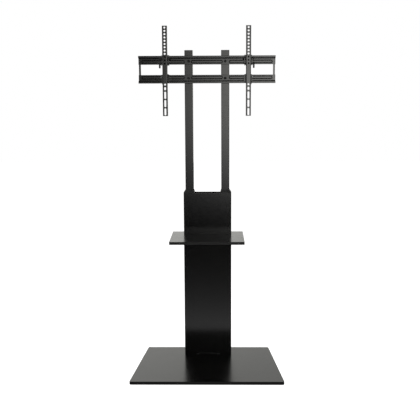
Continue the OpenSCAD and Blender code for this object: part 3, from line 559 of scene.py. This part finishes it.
def moulded_plastic(name):
    """Black moulded plastic with a fine spark-eroded grain: a net of tiny cells."""
    paint, t, place = start_finish(name)
    cells = t.add("ShaderNodeTexVoronoi", {"Vector": place, "Scale": CELL_SCALE})
    drift = noise(t, place, PLASTIC_DRIFT_SCALE, 3.0)
    colour = t.blend(drift, grey(0.009), grey(0.016))
    roughness = t.spread(drift, 0.3, 0.7, 0.42, 0.52)
    close_finish(t, colour, roughness,
                 bump(t, cells.outputs["Distance"], PLASTIC_RELIEF))
    return paint


def pad_rubber(name):
    """Dull black rubber with a faint bloom of pale dust."""
    paint, t, place = start_finish(name)
    bloom = noise(t, place, BLOOM_SCALE, 5.0, 0.7)
    colour = t.blend(t.spread(bloom, 0.5, 0.8, 0.0, 1.0), grey(0.014), grey(0.040))
    close_finish(t, colour, t.spread(bloom, 0.3, 0.8, 0.72, 0.90),
                 bump(t, bloom, RUBBER_RELIEF))
    return paint


def black_oxide(name):
    """Steel turned black in a bath and oiled: half metal, with paler worn spots."""
    paint, t, place = start_finish(name)
    wear = noise(t, place, WEAR_SCALE, 5.0, 0.6)
    colour = t.blend(t.spread(wear, 0.55, 0.80, 0.0, 1.0), grey(0.022), grey(0.075))
    close_finish(t, colour, t.spread(wear, 0.3, 0.8, 0.30, 0.48),
                 bump(t, wear, OXIDE_RELIEF), Metallic=0.65)
    return paint


def zinc_plate(name):
    """Bright zinc with a cool cast and soft clouding from the plating bath."""
    paint, t, place = start_finish(name)
    cloud = noise(t, place, ZINC_CLOUD_SCALE, 4.0, 0.6)
    colour = t.blend(cloud, COOL_ZINC, PALE_ZINC)
    close_finish(t, colour, t.spread(cloud, 0.3, 0.7, 0.22, 0.36),
                 bump(t, cloud, ZINC_RELIEF), Metallic=1.0)
    return paint


print("depth of the plastic's grain in mm:", round(PLASTIC_RELIEF / MM, 2))

# %% [markdown]
# ### Which finish goes where
#
# Five parts need a finish that differs a little from the rest of their slot. The
# uprights are as deep a black as the column, the rails are a little less smooth and have
# the rounded folds, and the shelf's edges shine more than those of the base.

# %% One finish for each material slot
DEEP_BLACK = (0.0020, 0.0034)
BLACK = (0.0030, 0.0046)
SMOOTH = (0.14, 0.18)
FINE_PEEL = 0.010 * MM
FINISHES = {
    "board_lacquer": board_lacquer("board_lacquer", edge_gloss=0.12),
    "column_paint": powder_coat("column_paint", DEEP_BLACK, SMOOTH, FINE_PEEL),
    "frame_paint": powder_coat("frame_paint", BLACK, (0.20, 0.26), 0.012 * MM),
    "mount_paint": powder_coat("mount_paint", BLACK, SMOOTH, FINE_PEEL, gloss=0.55),
    "black_plastic": moulded_plastic("black_plastic"),
    "pad_rubber": pad_rubber("pad_rubber"),
    "black_oxide": black_oxide("black_oxide"),
    "zinc_plate": zinc_plate("zinc_plate"),
}
TUBE_PAINT = powder_coat("tube_paint", DEEP_BLACK, SMOOTH, FINE_PEEL)
RAIL_PAINT = powder_coat("rail_paint", BLACK, (0.17, 0.21), 0.006 * MM, bend=2.0 * MM)
SHELF_LACQUER = board_lacquer("shelf_lacquer")
OWN_FINISH = {
    "shelf": SHELF_LACQUER,
    "left_upright": TUBE_PAINT, "right_upright": TUBE_PAINT,
    "upper_rail": RAIL_PAINT, "lower_rail": RAIL_PAINT,
}
print("finishes:", sorted(FINISHES))

# %% [markdown]
# The record says which slot each CAD part belongs to, so the finishes go on with one
# loop, and a part that is added to the frame later gets its finish by itself. A part
# with a finish of its own still belongs to its slot.

# %% Put the finishes on the CAD parts
slot_of = {}
for part in frame["record"]["subparts"]:
    slot_of[part["node"]] = part["material_slot"]
for name, node in frame["nodes"].items():
    node.data.materials.clear()
    node.data.materials.append(OWN_FINISH.get(name, FINISHES[slot_of[name]]))
print("parts finished:", len(slot_of))

# %% [markdown]
# ## The small formed parts
#
# The CAD frame has every screw, nut, knob and cap in its right size, but with flat
# faces and sharp corners. On the real stand the screws are cold-headed and the knobs,
# caps and levers are moulded, so all of these are softly rounded, and that is what
# catches the light. They could be bevelled copies of the CAD parts, but a fresh surface
# is cleaner: each is one skin over rings of points, where the rings follow an outline
# and each ring goes once round an axis.

# %% A skin over rings
def ring_faces(rows, columns, joined):
    """Corner numbers of the faces between neighbouring rings. Face (i, j) has the
    corners (i, j), (i, j + 1), (i + 1, j + 1) and (i + 1, j), counted round."""
    i = np.arange(rows if joined else rows - 1)[:, None]
    j = np.arange(columns)[None, :]
    below, above = i * columns, (i + 1) % rows * columns
    beside = (j + 1) % columns
    faces = np.stack([below + j, below + beside, above + beside, above + j], axis=-1)
    return faces.reshape(-1, 4)


def end_faces(row, columns, pole, outward):
    """Triangles from one ring to the point numbered pole."""
    j = np.arange(columns)
    beside = (j + 1) % columns
    first, second = (j, beside) if outward else (beside, j)
    return np.column_stack([row * columns + first, row * columns + second,
                            np.full(columns, pole)])


def enclosed(points, faces):
    """Volume inside the faces: the sum of a . (b x c) / 6 over their triangles."""
    total = 0.0
    for k in range(1, faces.shape[1] - 1):
        a, b, c = points[faces[:, 0]], points[faces[:, k]], points[faces[:, k + 1]]
        total += np.einsum("ij,ij->", a, np.cross(b, c)) / 6.0
    return total


def skin(rings, joined=False):
    """Points and faces of one closed body over rings of shape (rows, columns, 3). A
    joined body runs from the last ring back to the first, as a nut with its bore does;
    any other body is closed by a point in the middle of each end ring."""
    rows, columns = rings.shape[:2]
    points = rings.reshape(-1, 3)
    faces = [ring_faces(rows, columns, joined)]
    if not joined:
        poles = np.array([rings[0].mean(axis=0), rings[-1].mean(axis=0)])
        points = np.vstack([points, poles])
        faces.append(end_faces(0, columns, rows * columns, False))
        faces.append(end_faces(rows - 1, columns, rows * columns + 1, True))
    if sum(enclosed(points, part) for part in faces) < 0.0:
        faces = [part[:, ::-1] for part in faces]
    return points, faces


square = np.array([[0.0, 0.0], [1.0, 0.0], [1.0, 1.0], [0.0, 1.0]])
cube = np.stack([np.column_stack([square, np.full(4, z)]) for z in (0.0, 1.0)])
cube_points, cube_faces = skin(cube)
print("volume inside the skin of a unit cube:",
      round(sum(enclosed(cube_points, part) for part in cube_faces), 3))


# %% From skins to a finished piece
SOFT_ANGLE = math.radians(35)


def formed_piece(name, bodies, body, slot, *stands_for):
    """One object out of several closed bodies, riding on a CAD body, in place of the
    CAD parts named last."""
    points, faces, start = [], [], 0
    for some_points, some_faces in bodies:
        points.append(some_points)
        for part in some_faces:
            faces.extend((part + start).tolist())
        start += len(some_points)
    mesh = bpy.data.meshes.new(name)
    mesh.from_pydata(np.vstack(points).tolist(), [], faces)
    mesh.shade_smooth()
    mesh.set_sharp_from_angle(angle=SOFT_ANGLE)
    mesh.materials.append(FINISHES[slot])
    piece = bpy.data.objects.new(name, mesh)
    scene.collection.objects.link(piece)
    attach(piece, body)
    if stands_for:
        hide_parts(*stands_for)
    print(name, "faces:", len(faces))
    return piece


# %% [markdown]
# Turned parts have their axis along one of the three main directions. The outline is a
# list of radius and height, and a shape may squeeze each ring, for instance to the
# hexagon of a nut or of a screw's socket.

# %% Turned forms
def around(count):
    """Angles of the points of a ring."""
    return np.arange(count) * 2.0 * math.pi / count


def hexagon(angle):
    """Reach of a hexagon at that angle, 1 at its corners: cos 30 / cos(a), where a is
    the angle from the middle of the nearest side."""
    sixth = math.pi / 3.0
    from_side = np.mod(angle, sixth) - sixth / 2.0
    return math.cos(sixth / 2.0) / np.cos(from_side)


def turned(radii, heights, foot, axis):
    """Rings of those radii (rows, columns) at those heights over the foot, along axis
    0, 1 or 2, or along its negative where heights are negative."""
    columns = radii.shape[1]
    angle = around(columns)
    first, second = (axis + 1) % 3, (axis + 2) % 3
    rings = np.empty(radii.shape + (3,))
    rings[..., axis] = np.asarray(heights)[:, None]
    rings[..., first] = radii * np.cos(angle)
    rings[..., second] = radii * np.sin(angle)
    return rings + np.asarray(foot)


def quarter(start, end, count):
    """Steps of a quarter turn from start (radius, height) to end, leaving start along
    the height: radius falls as 1 - cos, height runs as sin."""
    turn = np.linspace(0.0, math.pi / 2.0, count)
    radius = start[0] + (end[0] - start[0]) * (1.0 - np.cos(turn))
    height = start[1] + (end[1] - start[1]) * np.sin(turn)
    return np.column_stack([radius, height])


print("reach of a hexagon's flats:", round(float(hexagon(math.pi / 6.0)), 3))


# %% [markdown]
# ### Button-head screws
#
# The screws that show have low domed heads with a hexagon socket, which is what such
# stands are put together with. The dome is a quarter of an ellipse from the rim up to
# the flat round the socket. The socket's rings are squeezed to a hexagon.

# %% A button-head screw
SCREW_SIDES = 48
DOME_STEPS = 9
EDGE_SHARE = 0.06
RIM_SHARE = 0.22
FLOOR_SHARE = 0.42
LIP_SHARE = 1.12
DISH_REACH, DISH_DEPTH = 0.5, 0.92


def button_screw(foot, axis, way, head_r, head_t, shank_r, length, socket_r):
    """A screw whose head stands on foot and points along way (+1 or -1) of the axis,
    with its shank going the other way. The outline runs from the dished floor of the
    socket over the dome and the rim down to the shank's end."""
    soft = EDGE_SHARE * head_r
    floor = FLOOR_SHARE * head_t
    dome = quarter((head_r, RIM_SHARE * head_t), (LIP_SHARE * socket_r, head_t),
                   DOME_STEPS)
    outline = np.vstack([
        [[socket_r * DISH_REACH, floor * DISH_DEPTH], [socket_r, floor],
         [socket_r, head_t - soft]],
        dome[::-1],
        [[head_r, soft], [head_r - soft, 0.0], [shank_r, 0.0],
         [shank_r, -length + soft], [shank_r - soft, -length]],
    ])
    radii = np.repeat(outline[:, :1], SCREW_SIDES, axis=1)
    radii[:3] *= hexagon(around(SCREW_SIDES))
    return skin(turned(radii, way * outline[:, 1], foot, axis))


# %% [markdown]
# ### Hexagon nuts
#
# A nut's corners are cut back by a cone of 30 degrees on both faces, which leaves the
# curved edges that everyone knows. So the reach of a ring is the smaller of the hexagon
# and of that cone. The skin is joined to itself through the bore.

# %% A chamfered nut
NUT_SIDES = 96
NUT_LEVELS = np.array([0.0, 0.03, 0.06, 0.09, 0.12, 0.5, 0.88, 0.91, 0.94, 0.97, 1.0])
CONE_START = 0.95
BORE_CHAMFER = 0.08


def hexagon_nut(foot, axis, corner_r, thick, bore_r):
    """A nut from its foot along the axis. At the depth d from the nearer face the cone's
    reach is r + d tan(60), where r is a little less than the hexagon's flats."""
    flat_r = corner_r * math.cos(math.pi / 6.0)
    heights = thick * NUT_LEVELS
    into = np.minimum(heights, thick - heights)
    cone = CONE_START * flat_r + into * math.tan(math.pi / 3.0)
    outside = np.minimum(corner_r * hexagon(around(NUT_SIDES))[None, :], cone[:, None])
    inside = np.full((4, NUT_SIDES), bore_r)
    inside[[0, 3]] += BORE_CHAMFER * thick
    radii = np.vstack([outside, inside])
    bore_levels = np.array([1.0, 1.0 - BORE_CHAMFER, BORE_CHAMFER, 0.0])
    heights = np.concatenate([heights, thick * bore_levels])
    return skin(turned(radii, heights, foot, axis), joined=True)


# %% [markdown]
# All screws of one CAD part stand in a regular pattern: two by two, two by three or one
# alone. So their places follow from the part's box and from how many there are along
# each direction. Directions are given as numbers: 0 is x, 1 is y and 2 is z.

# %% Sizes of the screws
M8_SHANK_R = 4.0 * MM
M8_NUT_R = 7.5 * MM
BORE_PLAY = 0.06 * MM
M8_BORE_R = M8_SHANK_R + BORE_PLAY

# Radius and height of the head, radius of the shank, radius of the socket.
M8 = (6.5 * MM, 5.0 * MM, M8_SHANK_R, 3.2 * MM)
M5 = (4.6 * MM, 2.8 * MM, 2.5 * MM, 1.9 * MM)
CLAMP = (6.5 * MM, 2.8 * MM, 3.0 * MM, 1.9 * MM)
print("heads across in mm:", [round(2.0 * size[0] / MM, 1) for size in (M8, M5, CLAMP)])


# %% Screws and nuts in their places
def corners(part):
    """Lowest and highest corner of a CAD part's box, as arrays."""
    low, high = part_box(part)
    return np.array(low), np.array(high)


def spots(part, counts, reach):
    """Middles of the screws of a CAD part, counts of them along x, y and z, each with
    that reach across its axis."""
    low, high = corners(part)
    lines = []
    for k in range(3):
        if counts[k] == 1:
            lines.append([(low[k] + high[k]) / 2.0])
        else:
            lines.append(np.linspace(low[k] + reach, high[k] - reach, counts[k]))
    return [np.array([x, y, z]) for x in lines[0] for y in lines[1] for z in lines[2]]


def put_screws(part, counts, axis, way, sizes, body, slot):
    """Button-head screws in place of a CAD part. sizes are the radius and height of the
    head, the radius of the shank and that of the socket."""
    head_r, head_t, shank_r, socket_r = sizes
    low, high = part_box(part)
    foot = high[axis] - head_t if way > 0 else low[axis] + head_t
    length = high[axis] - low[axis] - head_t
    screws = []
    for place in spots(part, counts, head_r):
        place[axis] = foot
        screws.append(button_screw(place, axis, way, head_r, head_t, shank_r, length,
                                   socket_r))
    return formed_piece("formed_" + part, screws, body, slot, part)


def put_nuts(part, counts, axis, corner_r, bore_r, body, slot):
    """Chamfered nuts in place of a CAD part."""
    low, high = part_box(part)
    nuts = []
    for place in spots(part, counts, corner_r):
        place[axis] = low[axis]
        nuts.append(hexagon_nut(place, axis, corner_r, high[axis] - low[axis], bore_r))
    return formed_piece("formed_" + part, nuts, body, slot, part)


ONE = (1, 1, 1)
put_screws("rail_bolts", (2, 1, 2), 1, -1, M8, "mast", "black_oxide")
put_nuts("rail_nuts", (2, 1, 2), 1, M8_NUT_R, M8_BORE_R, "mast", "zinc_plate")
put_screws("panel_screws", (2, 1, 3), 1, 1, M5, "stand", "zinc_plate")
put_screws("shelf_bracket_screws", (2, 1, 1), 1, -1, M5, "stand", "black_oxide")
put_screws("shelf_wood_screws", (2, 2, 1), 2, -1, M5, "stand", "zinc_plate")
for side, outward in (("left", -1), ("right", 1)):
    carrier = side + "_carrier"
    put_screws(side + "_latch_screw", ONE, 0, outward, M5, carrier, "zinc_plate")
    put_screws(side + "_clamp_bolt", ONE, 0, -outward, CLAMP, carrier, "black_oxide")
    put_screws(side + "_pivot_bolt", ONE, 0, -outward, M8, carrier, "black_oxide")
    put_nuts(side + "_pivot_nut", ONE, 0, M8_NUT_R, M8_BORE_R, carrier, "black_oxide")

# %% [markdown]
# ### Clamp knobs
#
# The two knobs behind the column are moulded grips with six finger hollows round the
# rim. They could be a disc with six cylinders cut away, which leaves knife edges. Here
# one formula gives the reach of the rim at each angle, and every ring up to the crown
# uses it, so the edge is round all the way along the hollows.

# %% The grip's outline
KNOB_R = 18.0 * MM
KNOB_T = 8.5 * MM
KNOB_CROWN = 1.5 * MM
KNOB_EDGE = 3.0 * MM
KNOB_SOFT = 0.5 * MM
HOLLOW_R = 6.0 * MM
HOLLOW_BLEND = 0.4 * MM
HOLLOWS = 6
KNOB_SIDES = 180
FARTHEST_BLENDS = 12.0


def lobed_reach(angle):
    """Reach of the grip: the smaller of its radius and of the near side of the hollow's
    circle, c cos(a) - sqrt(r^2 - c^2 sin(a)^2), where c is how far out the circle's
    middle lies and a is the angle from it. The two are joined by a soft minimum."""
    out = KNOB_R + HOLLOW_R / 2.0
    sector = 2.0 * math.pi / HOLLOWS
    away = np.mod(angle + sector / 2.0, sector) - sector / 2.0
    under = HOLLOW_R ** 2 - (out * np.sin(away)) ** 2
    near = out * np.cos(away) - np.sqrt(np.maximum(under, 0.0))
    gap = np.clip((near - KNOB_R) / HOLLOW_BLEND, -FARTHEST_BLENDS, FARTHEST_BLENDS)
    softer = HOLLOW_BLEND * np.log1p(np.exp(-np.abs(gap))) / 2.0
    return np.minimum(near, KNOB_R) - softer


reach = lobed_reach(around(KNOB_SIDES))
print("grip reach in mm:", (reach.min() / MM).round(2), "to", (reach.max() / MM).round(2))


# %% Clamp knobs
BACK_STEPS, EDGE_STEPS, CROWN_STEPS = 5, 10, 14
CROWN_RIM, CROWN_MIDDLE = 0.95, 0.05


def knob_rings(seat):
    """Rings of the grip from its back at seat: a soft edge, the straight side, a
    quarter round, and the crown 1 - s^2 that sinks into one middle point."""
    side = lobed_reach(around(KNOB_SIDES))
    turn = np.linspace(0.0, math.pi / 2.0, BACK_STEPS)
    edge = quarter((0.0, KNOB_T - KNOB_EDGE), (KNOB_EDGE, KNOB_T), EDGE_STEPS)
    insets = np.concatenate([KNOB_SOFT * (1.0 - np.sin(turn)), edge[:, 0]])
    sides = side[None, :] - insets[:, None]
    share = np.linspace(CROWN_RIM, CROWN_MIDDLE, CROWN_STEPS)[:, None]
    top = side - KNOB_EDGE
    crown = share * top + share * (1.0 - share) * (top.mean() - top)
    heights = np.concatenate([KNOB_SOFT * (1.0 - np.cos(turn)), edge[:, 1],
                              KNOB_T + KNOB_CROWN * (1.0 - share[:, 0] ** 2)])
    return turned(np.vstack([sides, crown]), heights, seat, 1)


def knob_shank(seat, length):
    """The threaded shank from inside the grip to its tip with a small chamfer."""
    outline = np.array([[M8_SHANK_R - KNOB_SOFT, -length],
                        [M8_SHANK_R, KNOB_SOFT - length], [M8_SHANK_R, KNOB_SOFT]])
    radii = np.repeat(outline[:, :1], SCREW_SIDES, axis=1)
    return skin(turned(radii, outline[:, 1], seat, 1))


for side in ("left", "right"):
    part = side + "_lock_knob"
    low, high = corners(part)
    seat = (low + high) / 2.0
    seat[1] = high[1] - KNOB_T - KNOB_CROWN
    formed_piece(side + "_knob_grip", [skin(knob_rings(seat))], side + "_knob",
                 "black_plastic", part)
    formed_piece(side + "_knob_shank", [knob_shank(seat, seat[1] - low[1])],
                 side + "_knob", "zinc_plate")

# %% [markdown]
# ### Caps of the uprights
#
# Each upright is closed by a moulded cap: a thin crowned plate with a hollow plug that
# goes into the tube. All its rings are the tube's rounded rectangle, drawn in by some
# inset.

# %% A rounded rectangle
CORNER_STEPS = 9


def rounded_ring(centre, half_x, half_y, corner_r, z):
    """One ring of a rounded rectangle: four quarter rounds of radius corner_r whose
    middles lie corner_r inside the corners."""
    ring = []
    for quadrant in range(4):
        turn = (quadrant + np.linspace(0.0, 1.0, CORNER_STEPS)) * math.pi / 2.0
        sign_x = 1.0 if quadrant in (0, 3) else -1.0
        sign_y = 1.0 if quadrant in (0, 1) else -1.0
        x = centre[0] + sign_x * (half_x - corner_r) + corner_r * np.cos(turn)
        y = centre[1] + sign_y * (half_y - corner_r) + corner_r * np.sin(turn)
        ring.append(np.column_stack([x, y, np.full(CORNER_STEPS, z)]))
    return np.vstack(ring)


print("points of a ring:", 4 * CORNER_STEPS)


# %% Caps of the uprights
CAP_T = 2.0 * MM
CAP_PLUG = 14.0 * MM
CAP_SOFT = 0.6 * MM
CAP_RISE = 0.3 * MM
TUBE_R = 3.0 * MM
LEAST_CORNER_R = 0.8 * MM
RIDGE = 1.0 * MM
PLUG_OUTSIDE = 2.1 * MM     # the tube's wall and a little play
PLUG_INSIDE = 4.1 * MM      # and the plug's own wall
ROUND_STEPS = 6
RISE_STEPS = 8
FIRST_RISE = 0.15


def cap_outline(reach):
    """Inset and height from the ceiling of the plug's hollow down, round the plug's
    foot, up its outside, round the plate and over the crown, which rises as
    1 - (1 - s)^2 up to a ridge that lies reach inside the edge."""
    plug = [(PLUG_INSIDE, 0.0), (PLUG_INSIDE, -CAP_PLUG),
            (PLUG_OUTSIDE + CAP_SOFT, -CAP_PLUG), (PLUG_OUTSIDE, CAP_SOFT - CAP_PLUG),
            (PLUG_OUTSIDE, 0.0), (0.0, 0.0)]
    shoulder = CAP_T - CAP_RISE
    edge = quarter((0.0, CAP_T - 2.0 * CAP_SOFT), (CAP_SOFT, shoulder), ROUND_STEPS)
    share = np.linspace(FIRST_RISE, 1.0, RISE_STEPS)
    crown = np.column_stack([CAP_SOFT + share * (reach - CAP_SOFT),
                             shoulder + CAP_RISE * (1.0 - (1.0 - share) ** 2)])
    return np.vstack([plug, edge, crown])


def cap_body(centre, half_x, half_y, base_z):
    """The skin of one cap over the rings of its outline."""
    rings = [rounded_ring(centre, half_x - inset, half_y - inset,
                          max(TUBE_R - inset, LEAST_CORNER_R), base_z + z)
             for inset, z in cap_outline(min(half_x, half_y) - RIDGE)]
    return skin(np.array(rings))


cap_z = corners("upright_caps")[1][2] - CAP_T
caps = []
for name in ("left_upright", "right_upright"):
    low, high = corners(name)
    half = (high - low) / 2.0
    caps.append(cap_body((low + high) / 2.0, half[0], half[1], cap_z))
formed_piece("formed_upright_caps", caps, "mast", "black_plastic", "upright_caps")

# %% [markdown]
# ### Tilt levers
#
# The short lever outside each hanger clamps the arm at its tilt. It is a moulded piece
# with a round hub and a leg that narrows to its tip. The rings lie level and go down
# from the top of the hub to the tip. Each ring is a superellipse, which is what gives
# the soft corners of a moulding.

# %% Tilt levers
HUB_R = 6.5 * MM
LEG = 23.0 * MM
LEG_T = 8.0 * MM
TIP_R = 3.0 * MM
LEVER_RINGS = 44
LEVER_SIDES = 48
POLE_TURN = 0.02
NECK_START, NECK_LENGTH = 0.6 * HUB_R, 0.8 * HUB_R
END_SOFTNESS = 0.35
SQUARENESS = 5.0


def lever_depths(z):
    """Half depth b at height z over the hub's middle. In the hub b = sqrt(R^2 - z^2),
    below it b falls in a straight line to the tip's radius, and the tip ends as a half
    round."""
    hub = np.sqrt(np.maximum(HUB_R ** 2 - np.square(z), 0.0))
    share = np.clip(-z / (LEG - TIP_R), 0.0, 1.0)
    leg = HUB_R + (TIP_R - HUB_R) * share
    past_tip = np.minimum(z + LEG - TIP_R, 0.0)
    tip = np.sqrt(np.maximum(TIP_R ** 2 - np.square(past_tip), 0.0)) / TIP_R
    return np.where(z > 0.0, hub, leg * tip)


def superellipse(count, power):
    """x and y of a ring with |x|^(2 / power) + |y|^(2 / power) = 1."""
    x, y = np.cos(around(count)), np.sin(around(count))
    return np.sign(x) * np.abs(x) ** power, np.sign(y) * np.abs(y) ** power


def lever_rings(part, outward):
    """Level rings from the top of the hub to the tip. Their thickness passes from the
    hub's to the leg's as 3 n^2 - 2 n^3 along the neck, on the side of the hanger."""
    low, high = corners(part)
    outside = high[0] if outward > 0 else low[0]
    width = high[0] - low[0]
    turn = np.linspace(POLE_TURN, math.pi - POLE_TURN, LEVER_RINGS)
    z = (HUB_R + LEG) / 2.0 * np.cos(turn) + (HUB_R - LEG) / 2.0
    half_y = lever_depths(z)
    neck = np.clip((-z - NECK_START) / NECK_LENGTH, 0.0, 1.0)
    thick = width + (LEG_T - width) * neck * neck * (3.0 - 2.0 * neck)
    half_x = thick / 2.0 * np.clip(half_y / TIP_R, 0.0, 1.0) ** END_SOFTNESS
    across, along = superellipse(LEVER_SIDES, 2.0 / SQUARENESS)
    rings = np.empty((LEVER_RINGS, LEVER_SIDES, 3))
    middle_x = outside - outward * thick / 2.0
    rings[..., 0] = middle_x[:, None] + half_x[:, None] * across
    rings[..., 1] = (low[1] + high[1]) / 2.0 + half_y[:, None] * along
    rings[..., 2] = (high[2] - HUB_R + z)[:, None]
    return rings


for side, outward in (("left", -1), ("right", 1)):
    part = side + "_tilt_lever"
    formed_piece("formed_" + part, [skin(lever_rings(part, outward))],
                 side + "_lever", "black_plastic", part)
